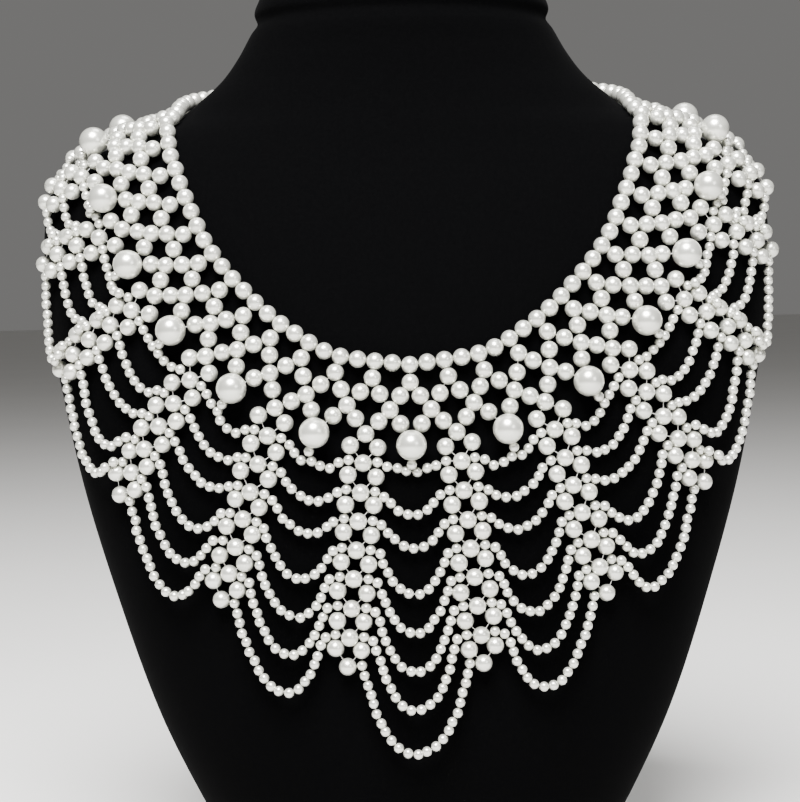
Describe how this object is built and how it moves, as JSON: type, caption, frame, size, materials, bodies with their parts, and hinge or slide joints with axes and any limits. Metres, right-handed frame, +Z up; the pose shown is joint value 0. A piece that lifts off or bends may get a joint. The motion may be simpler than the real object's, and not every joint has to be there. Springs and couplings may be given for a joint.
{
  "type": "bib necklace on a neck bust",
  "caption": "Bib necklace of round pearl beads: a netted collar with drop pearls, ladder fringes and swags of seed beads, worn on a plain velvet neck bust.",
  "frame": {"origin": "middle of the whole part's box in X and Y, on the plane the bust stands on", "axes": "+Z up the neck, the chest and the bib face -Y, +X is on the right as seen from the front"},
  "size_m": [0.2666, 0.129, 0.322],
  "materials": {
    "velvet": "matte black velvet pile",
    "pearl": "warm white glossy pearl",
    "clasp": "plain silver-coloured metal"
  },
  "bodies": {
    "root": {"neck_bust": "velvet", "neckline_string": "pearl", "clasp": "clasp", "collar_net": "pearl", "drop_pearl_centre": "pearl", "drop_pearl_left_1": "pearl", "drop_pearl_right_1": "pearl", "drop_pearl_left_2": "pearl", "drop_pearl_right_2": "pearl", "drop_pearl_left_3": "pearl", "drop_pearl_right_3": "pearl", "drop_pearl_left_4": "pearl", "drop_pearl_right_4": "pearl", "drop_pearl_left_5": "pearl", "drop_pearl_right_5": "pearl", "drop_pearl_left_6": "pearl", "drop_pearl_right_6": "pearl", "drop_pearl_left_7": "pearl", "drop_pearl_right_7": "pearl", "ladder_left_1": "pearl", "ladder_right_1": "pearl", "ladder_left_2": "pearl", "ladder_right_2": "pearl", "ladder_left_3": "pearl", "ladder_right_3": "pearl", "ladder_left_4": "pearl", "ladder_right_4": "pearl", "ladder_left_5": "pearl", "ladder_right_5": "pearl", "ladder_left_6": "pearl", "ladder_right_6": "pearl", "ladder_left_7": "pearl", "ladder_right_7": "pearl"}
  },
  "joints": []
}
